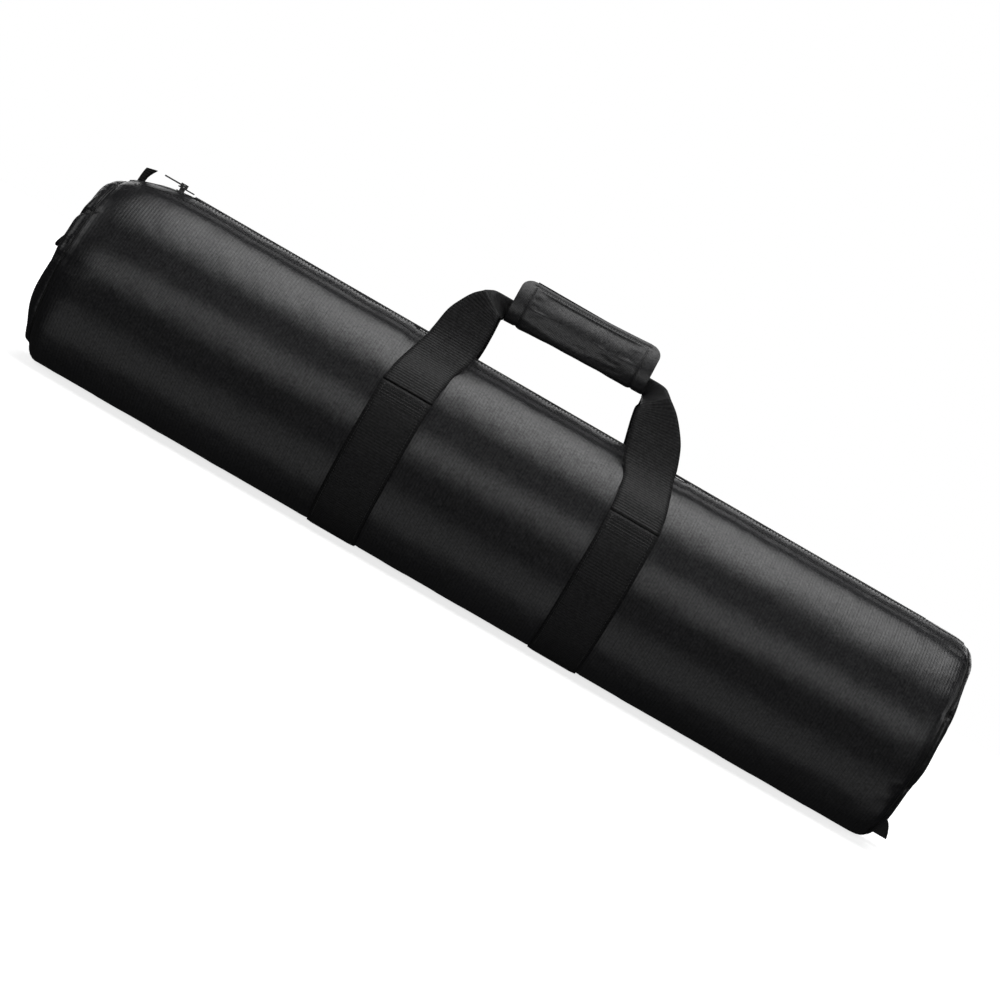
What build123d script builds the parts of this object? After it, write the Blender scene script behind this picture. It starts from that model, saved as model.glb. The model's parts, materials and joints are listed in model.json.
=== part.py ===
from build123d import *
import os
from math import cos, radians, sin, sqrt, tan

# A padded, zipped tube bag. X runs along the tube, Y from front to rear, Z up.
# The origin is on the floor under the middle of the bag. Millimetres.

# ---- driving dimensions -------------------------------------------------
half_length = 440.0          # the two end seams are at x = -/+ half_length
end_bulge = 18.0             # how far a padded end panel stands past its seam
body_radius = 104.0          # outside of the cover
flat_half_width = 30.0       # half the width of the flat that the bag rests on
left_seam_radius = 92.0
right_seam_radius = 101.0
left_shoulder_length = 40.0  # the tube narrows over this length to the left seam
right_shoulder_length = 30.0

cover_thickness = 1.2
foam_thickness = 10.0
lining_thickness = 0.8

strap_width = 50.0
strap_thickness = 2.2
strap_x = 117.0              # middle of each strap on the tube
sewn_angle = 28.0            # the straps leave the tube this far above its middle, in degrees
leave_angle = 43.6           # the handles lie on the lips up to here, then run straight up
leg_lean = 12.0              # how far a leg has moved inwards by the top of the tube
leg_shoulder = (116.5, 148.0)  # the outer edge of a leg bends round to the crossbar through here
leg_foot = 5.0               # the legs' outline starts this far below the hinge line
foam_seams = (sewn_angle, 3.0, -22.0, -47.0, -72.0)  # where the foam panels meet, in degrees above the middle
lip_foam_seam = 57.0
bartack_angle = 21.5
bartack_size = (44.0, 0.4, 9.0)
gap = 0.3                    # clearance between pieces that move against each other

zip_gap = 9.0                # half the opening between the two lips, filled by the zip
tape_thickness = 0.8
coil_inner = 0.9
coil_outer = 3.4
coil_height = 2.4
patch_half_width = 12.5
slot_length = 22.0           # room for the slider beyond the zip's right end
left_slot_reach = 12.0       # and beyond the slider's middle at its left end
left_zip_end = -380.0
right_zip_end = 400.0
slider_length = 16.0
slider_width = 12.0
slider_plate = 1.2
slider_post = 1.2
slider_corner = 3.0
bridge_length = 7.0
bridge_height = 3.6
bridge_half_width = 1.4
slider_x = -391.0
slot_half_width = 1.4
pull_length = 20.0
pull_width = 8.0
pull_thickness = 1.4
pull_bar_radius = 1.0
pull_bar_back = 4.5          # from the slider's left end to the pull's bar
pull_bar_height = 1.6        # above the slider's upper plate
pull_window = (9.5, 4.0)
pull_eye_radius = 1.6

grip_length = 144.0
grip_x = -6.0                # the grip sits a little left of the middle
grip_bottom = 149.5          # heights above the middle of the tube
grip_top = 195.5
grip_half_depth = 9.5
grip_panel_depth = 6.2
crossbar_bottom = 152.0
crossbar_top = 180.0
crossbar_half_length = 78.0
crossbar_y = 1.9             # middle of each strap's crossbar, each side of the centre plane
touch_strip_thickness = 1.0
touch_strip_length = 120.0
flap_corner = 13.0
back_corner = 5.0

ring_wire_radius = 1.6
ring_bend_radius = 12.0
ring_loop_size = (9.0, 20.0, 16.0)
ring_hinge_x = 462.0
ring_hinge_height = 20.0     # above the middle of the tube
left_ring_lean = 26.0        # degrees from hanging straight down
right_ring_lean = 0.0
ring_leg = 8.0
loop_wrap = 2.4              # webbing round the bar, from the bar's middle

end_tab_tip = 474.0
end_tab_width = 25.0
end_tab_drop = 91.0          # its flat underside, below the middle of the tube
end_tab_height = 17.0
end_tab_tip_height = 3.0
zip_tab_x = -431.0
zip_tab_height = 14.0
zip_tab_width = 12.0
binding_width = 3.0

# ---- worked out from them ----------------------------------------------
axis_height = sqrt(body_radius**2 - flat_half_width**2) + strap_thickness
crest = axis_height + body_radius
layer_depths = [
    0.0,
    cover_thickness,
    cover_thickness + foam_thickness,
    cover_thickness + foam_thickness + lining_thickness,
]
lip_angle = sewn_angle + gap
straight_left = left_shoulder_length - half_length
straight_right = half_length - right_shoulder_length
far = 400.0                  # beyond the bag in every direction


def at_height(shape):
    """Lift a shape that is drawn about the tube's own axis."""
    return Pos(0, 0, axis_height) * shape


def block(low, high):
    """A box between two corners."""
    size = [b - a for a, b in zip(low, high)]
    middle = [(a + b) / 2 for a, b in zip(low, high)]
    return Pos(*middle) * Box(*size)


def prism(points, x_low, x_high):
    """A polygon of (y, z) points, about the tube's axis, drawn out along X."""
    face = make_face(Polyline(*points, close=True))
    drawn = extrude(Plane.YZ * face, x_high - x_low)
    return at_height(Pos(x_low, 0, 0) * drawn)


def envelope(depth):
    """The closed bag, a given depth inside its outer surface."""
    radius = body_radius - depth
    left = left_seam_radius - depth
    right = right_seam_radius - depth
    bulge = end_bulge - depth / 2
    round_out = 0.55             # handle length of a curve that is close to a quarter ellipse
    ease = bulge * round_out
    tip = half_length + bulge
    outline = [
        Line((-tip, 0), (tip, 0)),
        Bezier((tip, 0), (tip, right * round_out), (half_length + ease, right), (half_length, right)),
        TangentArc((straight_right, radius), (half_length, right), tangent=(1, 0)),
        Line((straight_left, radius), (straight_right, radius)),
        TangentArc((straight_left, radius), (-half_length, left), tangent=(-1, 0)),
        Bezier((-tip, 0), (-tip, left * round_out), (-half_length - ease, left), (-half_length, left)),
    ]
    solid = at_height(revolve(make_face(outline), Axis.X))
    floor = strap_thickness + depth
    return solid - block((-2 * far, -far, -far), (2 * far, far, floor))


def ribbon(points, thickness, width):
    """A strip of one thickness that follows (y, z) points, drawn out along X about x = 0."""
    path = [Vector(y, z) for y, z in points]
    one_side = []
    other_side = []
    for i, point in enumerate(path):
        before = path[max(i - 1, 0)]
        after = path[min(i + 1, len(path) - 1)]
        into = (point - before).normalized() if i > 0 else (after - point).normalized()
        out = (after - point).normalized() if i < len(path) - 1 else into
        across = (into + out).normalized()
        normal = Vector(-across.Y, across.X)
        reach = thickness / 2 / normal.dot(Vector(-into.Y, into.X))
        one_side.append(point + normal * reach)
        other_side.append(point - normal * reach)
    corners = [(p.X, p.Y) for p in one_side + other_side[::-1]]
    return prism(corners, -width / 2, width / 2)


def polar(radius, angle):
    """A (y, z) point on the front of the tube, at an angle above its middle."""
    return (-radius * cos(radians(angle)), radius * sin(radians(angle)))


def mirrored(shape):
    """The same shape at the rear of the bag."""
    return mirror(shape, Plane.XZ)


# ---- padded shell ------------------------------------------------------
layers = [envelope(depth) for depth in layer_depths]
shell = {
    "cover": layers[0] - layers[1],
    "foam": layers[1] - layers[2],
    "lining": layers[2] - layers[3],
}
below_lips = prism(
    [
        (0, 0),
        polar(far, sewn_angle),
        (-far, -far),
        (far, -far),
        (-polar(far, sewn_angle)[0], polar(far, sewn_angle)[1]),
    ],
    -half_length,
    half_length,
)
lip_sector = prism(
    [
        (-zip_gap, zip_gap * tan(radians(lip_angle))),
        polar(far, lip_angle),
        (-far, far),
        (-zip_gap, far),
    ],
    gap - half_length,
    half_length - gap,
)
notch_half_width = patch_half_width + gap
left_notch = block((-far * 2, -notch_half_width, axis_height), (left_zip_end - gap, notch_half_width, far))
right_notch = block((right_zip_end + gap, -notch_half_width, axis_height), (far * 2, notch_half_width, far))


def wedge(low, high):
    """The straight part of the tube between two angles above its middle, at the front."""
    return prism([(0, 0), polar(far, low), polar(far, high)], straight_left, straight_right)


def beyond(x, side):
    """Everything past x, towards the left (-1) or right (1) end."""
    return block((-far * 2, -far, -far), (x, far, far)) if side < 0 else block((x, -far, -far), (far * 2, far, far))


def foam_panels(lower, lip):
    """The foam of the lower shell and of the lips, in panels, with a narrowing piece at each end."""
    parts = {}
    under_y, under_z = polar(far, foam_seams[-1])
    under = prism([(0, 0), (under_y, under_z), (-under_y, under_z)], straight_left, straight_right)
    parts["bottom_foam"] = lower & under
    for number, (high, low) in enumerate(zip(foam_seams, foam_seams[1:]), 1):
        panel = lower & wedge(low, high)
        parts[f"front_foam_{number}"] = panel
        parts[f"rear_foam_{number}"] = mirrored(panel)
    lip_pieces = {
        "lower": lip & wedge(lip_angle, lip_foam_seam),
        "upper": lip & wedge(lip_foam_seam, 90),
        "left": lip & beyond(straight_left, -1),
        "right": lip & beyond(straight_right, 1),
    }
    for name, piece in lip_pieces.items():
        parts["front_lip_foam_" + name] = piece
        parts["rear_lip_foam_" + name] = mirrored(piece)
    parts["left_shoulder_foam"] = lower & beyond(straight_left, -1)
    parts["right_shoulder_foam"] = lower & beyond(straight_right, 1)
    return parts


def shell_parts():
    """The cover, foam and lining of the lower shell, the lips and the ends."""
    parts = {}
    for name, layer in shell.items():
        lower = layer & below_lips
        lip = (layer & lip_sector) - left_notch - right_notch
        if name == "foam":
            parts.update(foam_panels(lower, lip))
        else:
            parts["lower_" + name] = lower
            parts["front_lip_" + name] = lip
            parts["rear_lip_" + name] = mirrored(lip)
        parts["left_end_" + name] = layer & beyond(-half_length, -1)
        parts["right_end_" + name] = layer & beyond(half_length, 1)
    return parts


def seam_binding(side, radius):
    """The tape that binds an end seam, a ring inside the lining at the end of the tube."""
    depth = layer_depths[3]
    outer = radius - depth - gap
    ring = Cylinder(outer, binding_width) - Cylinder(outer - 1, binding_width)
    ring = at_height(Pos(side * (half_length - binding_width / 2 - gap), 0, 0) * Rot(0, 90, 0) * ring)
    return ring - block((-far * 2, -far, -far), (far * 2, far, strap_thickness + depth + gap))


# ---- zip ---------------------------------------------------------------
tape_top = crest - 0.5
coil_top = crest + 0.2
plate_bottom = coil_top + gap             # the slider's upper plate
plate_top = plate_bottom + slider_plate
pull_bar_x = slider_x - slider_length / 2 + pull_bar_back
pull_bar_z = plate_top + pull_bar_height


def zip_tape():
    low = (left_zip_end, -zip_gap, tape_top - tape_thickness)
    return block(low, (right_zip_end, -coil_outer, tape_top))


def zip_coil():
    low = (left_zip_end, -coil_outer, coil_top - coil_height)
    return block(low, (right_zip_end, -coil_inner, coil_top))


def zip_end_patch(x_low, x_high, slot_low, slot_high):
    """The sewn patch that closes one end of the zip, with a slot for the slider."""
    low = (x_low, -patch_half_width, axis_height)
    strip = shell["cover"] & block(low, (x_high, patch_half_width, far))
    return strip - block((slot_low, -slot_half_width, 0), (slot_high, slot_half_width, far))


def slider_plate_at(bottom):
    left = slider_x - slider_length / 2
    low = (left, -slider_width / 2, bottom)
    plate = block(low, (left + slider_length, slider_width / 2, bottom + slider_plate))
    return fillet(plate.edges().filter_by(Axis.Z), slider_corner)


def zip_slider():
    """Two plates either side of the coils, joined by a post, with a bridge for the pull."""
    left = slider_x - slider_length / 2
    lower_top = coil_top - coil_height - gap
    post = block((left + 2, -slider_post / 2, lower_top - 0.1), (left + 7, slider_post / 2, plate_bottom + 0.1))
    bridge = block(
        (left + 1, -bridge_half_width, plate_top - 0.1),
        (left + 1 + bridge_length, bridge_half_width, plate_top + bridge_height),
    )
    bridge -= Pos(pull_bar_x, 0, pull_bar_z) * Rot(90, 0, 0) * Cylinder(pull_bar_radius + gap, slider_width)
    return slider_plate_at(plate_bottom) + slider_plate_at(lower_top - slider_plate) + post + bridge


def zip_pull():
    """A flat pull that lies towards the left end, with the bar that the slider's bridge holds."""
    half_width = pull_width / 2
    half_thickness = pull_thickness / 2
    plate = block((-pull_length, -half_width, -half_thickness), (1, half_width, half_thickness))
    plate = fillet(plate.edges().filter_by(Axis.Z), 0.9)
    window_length, window_width = pull_window
    window = block((3 - window_length, -window_width / 2, -3), (3, window_width / 2, 3))
    eye = Pos(4 - pull_length, 0, 0) * Cylinder(pull_eye_radius, 6)
    bar = Rot(90, 0, 0) * Cylinder(pull_bar_radius, pull_width - 1)
    return Pos(pull_bar_x, 0, pull_bar_z) * (plate - window - eye + bar)


def zip_end_tab():
    """A short webbing tab, sewn at the left end of the zip, that stands up."""
    foot = envelope_top(zip_tab_x)
    top = foot + zip_tab_height
    outline = [(-3.2, foot - 1.5), (3.2, foot - 1.5), (5.5, top), (-1.5, top - 3)]
    face = make_face(Polyline(*outline, close=True))
    tab = extrude(Plane.XZ * face, zip_tab_width / 2, both=True)
    return Pos(zip_tab_x, 0, 0) * tab - layers[0]


def envelope_top(x):
    """Height of the closed bag's top line at x, on the left shoulder."""
    drop = body_radius - left_seam_radius
    bend = (left_shoulder_length**2 + drop**2) / (2 * drop)
    along = max(0.0, left_shoulder_length - half_length - x)
    return crest - bend + sqrt(bend**2 - along**2)


# ---- straps and handle -------------------------------------------------
strap_faces = body_radius + gap + strap_thickness
hinge_y, hinge_z = polar(strap_faces, sewn_angle)


def body_strap(x):
    """Webbing round the underside of the tube, from one sewn end to the other."""
    outer = body_radius + strap_thickness
    ring = Rot(0, 90, 0) * Cylinder(outer, strap_width)
    inner = Rot(0, 90, 0) * Cylinder(body_radius, strap_width + 2)
    ring = at_height(ring) - block((-far, -far, -far), (far, far, 0))
    inner = at_height(inner) - block((-far, -far, -far), (far, far, strap_thickness))
    end = sewn_angle - 1.0
    lower = [(0, 0), polar(far, end), (-far, -far), (far, -far), (-polar(far, end)[0], polar(far, end)[1])]
    return Pos(x, 0, 0) * ((ring - inner) & prism(lower, -strap_width, strap_width))


def strap_bartacks():
    """The stitched boxes at the straps' sewn ends, front and rear."""
    boxes = []
    for x in (-strap_x, strap_x):
        box = Pos(0, -body_radius - strap_thickness - bartack_size[1], 0) * Box(*bartack_size)
        box = Rot(-bartack_angle, 0, 0) * box
        box = at_height(Pos(x, 0, 0) * box)
        boxes += [box, mirrored(box)]
    return boxes


def handle_webbing():
    """Front handle: two legs that leave the tube on a tangent, and the crossbar in the grip."""
    middle = body_radius + gap + strap_thickness / 2
    steps = 5
    start = sewn_angle + gap
    arc = [polar(middle, start + (leave_angle - start) * i / steps) for i in range(steps + 1)]
    side = arc + [(-crossbar_y, crossbar_bottom - 2), (-crossbar_y, crossbar_top)]
    sheet = ribbon(side, strap_thickness, far)
    foot = hinge_z - leg_foot
    shoulder = body_radius
    outer = strap_x + strap_width / 2
    inner = strap_x - strap_width / 2
    lean = leg_lean
    corner = [
        Line((0, crossbar_top), (crossbar_half_length, crossbar_top)),
        ThreePointArc((crossbar_half_length, crossbar_top), leg_shoulder, (outer - lean, shoulder)),
        Line((outer - lean, shoulder), (outer, foot)),
        Line((outer, foot), (inner, foot)),
        Line((inner, foot), (inner - lean, shoulder)),
        Line((inner - lean, shoulder), (inner - lean, crossbar_bottom)),
        Line((inner - lean, crossbar_bottom), (0, crossbar_bottom)),
        Line((0, crossbar_bottom), (0, crossbar_top)),
    ]
    half = extrude(Plane.XZ * make_face(corner), far, both=True)
    return sheet & at_height(half + mirror(half, Plane.YZ))


def padded_panel(low, high, radius):
    """A panel of foam in a sewn cover: returns the cover and the foam."""
    outside = block(low, high)
    outside = fillet(outside.edges().filter_by(Axis.Y), radius)
    wall = cover_thickness
    inside = block([a + wall for a in low], [b - wall for b in high])
    inside = fillet(inside.edges().filter_by(Axis.Y), radius - wall)
    return outside - inside, inside


half_grip = grip_length / 2
strip_level = axis_height + grip_top - cover_thickness
panel_inner_y = grip_half_depth - grip_panel_depth


def grip_back():
    low = (-half_grip, panel_inner_y, axis_height + grip_bottom + 1)
    high = (half_grip, grip_half_depth, strip_level - 2 * touch_strip_thickness - gap)
    return padded_panel(low, high, back_corner)


def grip_flap():
    """The front panel of the wrap, with the strips that close under and over the webbing."""
    low = (-half_grip, -grip_half_depth, axis_height + grip_bottom)
    high = (half_grip, -panel_inner_y, axis_height + grip_top)
    cover, foam = padded_panel(low, high, flap_corner)
    reach = half_grip - flap_corner
    under = block((-reach, -panel_inner_y, low[2]), (reach, panel_inner_y - gap, low[2] + cover_thickness))
    over = block((-reach, -panel_inner_y, strip_level), (reach, grip_half_depth, high[2]))
    return cover + under + over, foam


def touch_strip(bottom):
    half = touch_strip_length / 2
    low = (-half, panel_inner_y + 0.5, bottom)
    return block(low, (half, grip_half_depth - 0.5, bottom + touch_strip_thickness))


# ---- end fittings ------------------------------------------------------
def d_ring(side, lean):
    """A wire ring: a straight bar along Y with a round bow hanging from it."""
    bar = Rot(90, 0, 0) * Cylinder(ring_wire_radius, 2 * ring_bend_radius)
    hanging = Plane(origin=(0, 0, -ring_leg), x_dir=(0, -1, 0), z_dir=(1, 0, 0))
    bow = hanging * Torus(ring_bend_radius, ring_wire_radius, major_angle=180, align=None)
    legs = []
    for y in (-ring_bend_radius, ring_bend_radius):
        legs.append(Pos(0, y, -ring_leg / 2) * Cylinder(ring_wire_radius, ring_leg))
        legs.append(Pos(0, y, 0) * Sphere(ring_wire_radius))
    ring = bar + bow + legs
    ring = Rot(0, side * -lean, 0) * ring
    return Pos(side * ring_hinge_x, 0, axis_height + ring_hinge_height) * ring


def ring_loop(side):
    """Webbing folded round the ring's bar and sewn to the end panel."""
    depth, width, height = ring_loop_size
    loop = block((-depth, -width / 2, -loop_wrap), (loop_wrap, width / 2, height))
    loop = fillet(loop.edges().filter_by(Axis.Y).sort_by(Axis.X)[-2:], 2.2)
    loop -= Rot(90, 0, 0) * Cylinder(ring_wire_radius + 0.2, width + 2)
    loop = Pos(ring_hinge_x, 0, axis_height + ring_hinge_height) * loop
    loop -= layers[0]
    return loop if side > 0 else mirror(loop, Plane.YZ)


def end_tab():
    """A folded webbing wedge, low on the right end, to hold while the zip is pulled."""
    bottom = axis_height - end_tab_drop
    tip_top = bottom + end_tab_tip_height
    root_top = bottom + end_tab_height
    outline = [(half_length, bottom), (end_tab_tip, bottom), (end_tab_tip, tip_top), (half_length, root_top)]
    face = make_face(Polyline(*outline, close=True))
    tab = extrude(Plane.XZ * face, end_tab_width / 2, both=True)
    return tab - layers[0]


# ---- write every node --------------------------------------------------
nodes = shell_parts()
nodes["left_seam_binding"] = seam_binding(-1, left_seam_radius)
nodes["right_seam_binding"] = seam_binding(1, right_seam_radius)
nodes["front_zip_tape"] = zip_tape()
nodes["rear_zip_tape"] = mirrored(zip_tape())
nodes["front_zip_coil"] = zip_coil()
nodes["rear_zip_coil"] = mirrored(zip_coil())
left_slot = slider_x - left_slot_reach
right_slot = right_zip_end + slot_length
nodes["left_zip_end_patch"] = zip_end_patch(-half_length, left_zip_end - 2 * gap, left_slot, 0)
nodes["right_zip_end_patch"] = zip_end_patch(right_zip_end + 2 * gap, half_length, 0, right_slot)
nodes["left_zip_end_tab"] = zip_end_tab()
nodes["zip_slider"] = zip_slider()
nodes["zip_pull"] = zip_pull()
for side_name, side in (("left", -1), ("right", 1)):
    nodes[side_name + "_body_strap"] = body_strap(side * strap_x)
    nodes[side_name + "_d_ring_loop"] = ring_loop(side)
nodes["left_d_ring"] = d_ring(-1, left_ring_lean)
nodes["right_d_ring"] = d_ring(1, right_ring_lean)
nodes["strap_bartacks"] = Compound(children=strap_bartacks())
nodes["front_handle_webbing"] = handle_webbing()
nodes["rear_handle_webbing"] = mirrored(handle_webbing())
nodes["grip_back_cover"], nodes["grip_back_foam"] = grip_back()
nodes["grip_flap_cover"], nodes["grip_flap_foam"] = grip_flap()
nodes["grip_hook_strip"] = touch_strip(strip_level - touch_strip_thickness)
nodes["grip_loop_strip"] = touch_strip(strip_level - 2 * touch_strip_thickness - gap)
nodes["right_end_tab"] = end_tab()
for name in [name for name in nodes if name.startswith("grip_")]:
    nodes[name] = Pos(grip_x, 0, 0) * nodes[name]

os.makedirs("parts", exist_ok=True)
for node_name, shape in nodes.items():
    export_step(shape, f"parts/{node_name}.step")
print("handle hinge", hinge_y, hinge_z + axis_height, "axis height", axis_height)
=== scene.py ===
import json
from math import atan2, cos, pi, radians, sin, sqrt

import bpy
import numpy as np
from mathutils import Matrix, Vector


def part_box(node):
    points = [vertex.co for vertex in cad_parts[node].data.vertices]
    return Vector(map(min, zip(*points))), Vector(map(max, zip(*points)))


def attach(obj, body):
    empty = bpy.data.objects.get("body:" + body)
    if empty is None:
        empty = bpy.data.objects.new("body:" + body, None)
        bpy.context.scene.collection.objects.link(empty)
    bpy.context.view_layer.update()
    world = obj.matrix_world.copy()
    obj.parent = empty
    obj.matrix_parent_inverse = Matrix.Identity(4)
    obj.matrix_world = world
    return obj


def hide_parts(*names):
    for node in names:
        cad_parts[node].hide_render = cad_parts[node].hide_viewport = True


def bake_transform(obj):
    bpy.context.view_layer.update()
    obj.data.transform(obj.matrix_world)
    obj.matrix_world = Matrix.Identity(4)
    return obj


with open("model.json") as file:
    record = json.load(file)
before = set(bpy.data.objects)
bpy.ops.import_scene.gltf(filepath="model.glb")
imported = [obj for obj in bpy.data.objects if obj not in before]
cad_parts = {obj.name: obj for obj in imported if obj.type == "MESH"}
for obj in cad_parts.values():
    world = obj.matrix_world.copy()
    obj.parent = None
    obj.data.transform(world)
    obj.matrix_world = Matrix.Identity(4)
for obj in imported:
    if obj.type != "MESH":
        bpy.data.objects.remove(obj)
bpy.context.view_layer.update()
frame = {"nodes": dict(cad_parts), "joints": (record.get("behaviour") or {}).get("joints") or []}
MM = 0.001

# ---- sizes read from the frame ------------------------------------------
low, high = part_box("lower_cover")
HALF, RADIUS, UNDERSIDE = high[0], high[1], low[2]
low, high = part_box("front_lip_cover")
ZIP_HALF = -high[1]
AXIS = high[2] - sqrt(RADIUS**2 - ZIP_HALF**2)
CREST = AXIS + RADIUS
low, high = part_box("front_zip_coil")
ZIP_LEFT, ZIP_RIGHT, COIL_TOP = low[0], high[0], high[2]
low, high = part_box("left_body_strap")
STRAP_X = -(low[0] + high[0]) / 2
STRAP_WIDTH = high[0] - low[0]
low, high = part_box("grip_flap_cover")
GRIP_HALF, GRIP_BOTTOM, GRIP_TOP = (high[0] - low[0]) / 2, low[2], high[2]
GRIP_X = (low[0] + high[0]) / 2
LEFT_TIP = -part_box("left_end_cover")[0][0]
joints = {j["name"]: j for j in frame["joints"]}
HINGE = joints["front_lip_hinge"]["pos_m"]
SEWN = atan2(HINGE[2] - AXIS, -HINGE[1])

PAD_DEPTH = 11.2 * MM
LINING_DEPTH = 11.8 * MM
STRAP_THICKNESS = 1.9 * MM
STRAP_SEAT = RADIUS - 0.9 * MM   # the straps press this far into the pad
STRAP_FACE = STRAP_SEAT + STRAP_THICKNESS
PANEL_SEAM = radians(21.5)   # the lips' pads join the lower pad here
LIP_EDGE = radians(85.2)     # the lips' free edges, beside the zip


# ---- small helpers ------------------------------------------------------
def smooth(t):
    t = np.clip(t, 0, 1)
    return t * t * (3 - 2 * t)


def dip(distance, width):
    return np.exp(-(distance / width) ** 2)


def ripple(a, b, scale, seed, waves=9):
    """Smooth noise of about unit height over two coordinates."""
    rng = np.random.default_rng(seed)
    total = 0.0
    for _ in range(waves):
        turn = rng.uniform(0, 2 * pi)
        rate = 2 * pi / scale * rng.uniform(0.6, 1.5)
        total = total + np.sin(rate * (a * cos(turn) + b * sin(turn)) + rng.uniform(0, 2 * pi))
    return total / sqrt(waves)


def mesh_piece(name, points, faces, uvs=None, sharp=None, material=None):
    """A smooth-shaded mesh object. uvs are per point; sharp lists pairs of points."""
    mesh = bpy.data.meshes.new(name)
    mesh.from_pydata([tuple(p) for p in points], [], faces)
    mesh.update()
    mesh.shade_smooth()
    if uvs is not None:
        layer = mesh.uv_layers.new(name="UVMap")
        loops = np.empty(len(mesh.loops), int)
        mesh.loops.foreach_get("vertex_index", loops)
        layer.data.foreach_set("uv", np.asarray(uvs, float)[loops].ravel())
    if sharp:
        wanted = {frozenset(pair) for pair in sharp}
        for edge in mesh.edges:
            edge.use_edge_sharp = frozenset(edge.vertices) in wanted
    piece = bpy.data.objects.new(name, mesh)
    bpy.context.collection.objects.link(piece)
    if material:
        mesh.materials.append(material)
    return piece


def pad(name, outer, inner, uv, material, wrap=False):
    """A closed pad between two grids of points, [i][j]. With wrap, j runs round in a ring."""
    ni, nj = outer.shape[:2]
    count = ni * nj
    points = np.concatenate([outer.reshape(-1, 3), inner.reshape(-1, 3)])
    uvs = np.concatenate([uv.reshape(-1, 2)] * 2)
    faces = []
    sharp = []
    last = nj if wrap else nj - 1
    for i in range(ni - 1):
        for j in range(last):
            a, b = i * nj + j, i * nj + (j + 1) % nj
            c, d = b + nj, a + nj
            faces.append((a, b, c, d))
            faces.append((a + count, d + count, c + count, b + count))
    rim = []
    for j in range(last):
        k = (j + 1) % nj
        rim.append((k, j))
        rim.append(((ni - 1) * nj + j, (ni - 1) * nj + k))
    if not wrap:
        for i in range(ni - 1):
            rim.append((i * nj, (i + 1) * nj))
            rim.append(((i + 2) * nj - 1, (i + 1) * nj - 1))
    for a, b in rim:
        faces.append((a, b, b + count, a + count))
        sharp += [(a, b), (a + count, b + count)]
    return mesh_piece(name, points, faces, uvs, sharp, material)


def sheet_mesh(name, grid, uv, material, wrap=False):
    ni, nj = grid.shape[:2]
    last = nj if wrap else nj - 1
    faces = [
        (i * nj + j, i * nj + (j + 1) % nj, (i + 1) * nj + (j + 1) % nj, (i + 1) * nj + j)
        for i in range(ni - 1)
        for j in range(last)
    ]
    return mesh_piece(name, grid.reshape(-1, 3), faces, uv.reshape(-1, 2), material=material)


def catmull(points, steps):
    """A smooth curve through the points, with the given number of steps to each span."""
    p = np.asarray(points, float)
    p = np.vstack([2 * p[0] - p[1], p, 2 * p[-1] - p[-2]])
    curve = []
    for k in range(1, len(p) - 2):
        for t in np.arange(steps) / steps:
            a, b, c, d = p[k - 1], p[k], p[k + 1], p[k + 2]
            square = (2 * a - 5 * b + 4 * c - d) * t**2
            cube = (3 * b - a - 3 * c + d) * t**3
            curve.append(0.5 * (2 * b + (c - a) * t + square + cube))
    curve.append(p[-2])
    return np.array(curve)


def unit(v):
    return v / np.maximum(np.linalg.norm(v, axis=-1, keepdims=True), 1e-12)


def ribbon(name, edge_a, edge_b, thickness, material, across=10):
    """Webbing between two edge curves: a closed strip that thins at its edges."""
    edge_a, edge_b = np.asarray(edge_a), np.asarray(edge_b)
    share = np.linspace(0, 1, across)
    grid = edge_a[:, None] * (1 - share)[None, :, None] + edge_b[:, None] * share[None, :, None]
    along = unit(np.gradient(grid, axis=0))
    side = unit(np.gradient(grid, axis=1))
    normal = unit(np.cross(along, side))
    half = thickness / 2 * np.minimum(1, 0.45 + 7 * np.minimum(share, 1 - share))
    top = grid + normal * half[None, :, None]
    bottom = grid - normal * half[None, :, None]
    loop = np.concatenate([top, bottom[:, ::-1]], axis=1)
    ni, nj = loop.shape[:2]
    faces = [
        (i * nj + j, (i + 1) * nj + j, (i + 1) * nj + (j + 1) % nj, i * nj + (j + 1) % nj)
        for i in range(ni - 1)
        for j in range(nj)
    ]
    faces.append(tuple(range(nj)))
    faces.append(tuple((ni - 1) * nj + j for j in reversed(range(nj))))
    middle = (edge_a + edge_b) / 2
    run = np.concatenate([[0], np.cumsum(np.linalg.norm(np.diff(middle, axis=0), axis=1))])
    width = float(np.linalg.norm(edge_a[0] - edge_b[0]))
    over = np.concatenate([share, share[::-1]]) * width
    uv = np.stack(np.broadcast_arrays(over[None, :], run[:, None]), axis=-1)
    return mesh_piece(name, loop.reshape(-1, 3), faces, uv.reshape(-1, 2), material=material)


def stitches(name, rows, pitch=3.2 * MM, length=2.3 * MM, radius=0.32 * MM):
    """Thread stitches along rows of (points, normals)."""
    points, faces = [], []
    sides = 6
    lift = 0.1 * MM
    for line, normals in rows:
        line, normals = np.asarray(line, float), np.asarray(normals, float)
        run = np.concatenate([[0], np.cumsum(np.linalg.norm(np.diff(line, axis=0), axis=1))])
        starts = np.arange(pitch / 2, run[-1] - length, pitch)
        for start in starts:
            at = [start, start + length * 0.25, start + length * 0.75, start + length]
            centre = np.array([[np.interp(s, run, line[:, c]) for c in range(3)] for s in at])
            up = unit(np.array([np.interp(start, run, normals[:, c]) for c in range(3)]))
            way = unit(centre[-1] - centre[0])
            over = unit(np.cross(way, up))
            base = len(points)
            for c, swell, rise in zip(centre, (0.35, 1.0, 1.0, 0.35), (-0.8, 0.4, 0.4, -0.8)):
                middle = c + up * (lift + radius * rise)
                for k in range(sides):
                    turn = 2 * pi * k / sides
                    points.append(middle + radius * swell * (up * sin(turn) + over * cos(turn)))
            for ring in range(3):
                for k in range(sides):
                    a, b = base + ring * sides + k, base + ring * sides + (k + 1) % sides
                    faces.append((a, a + sides, b + sides, b))
            faces.append(tuple(base + k for k in range(sides)))
            faces.append(tuple(base + 3 * sides + k for k in reversed(range(sides))))
    return mesh_piece(name, points, faces, material=THREAD)


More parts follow.
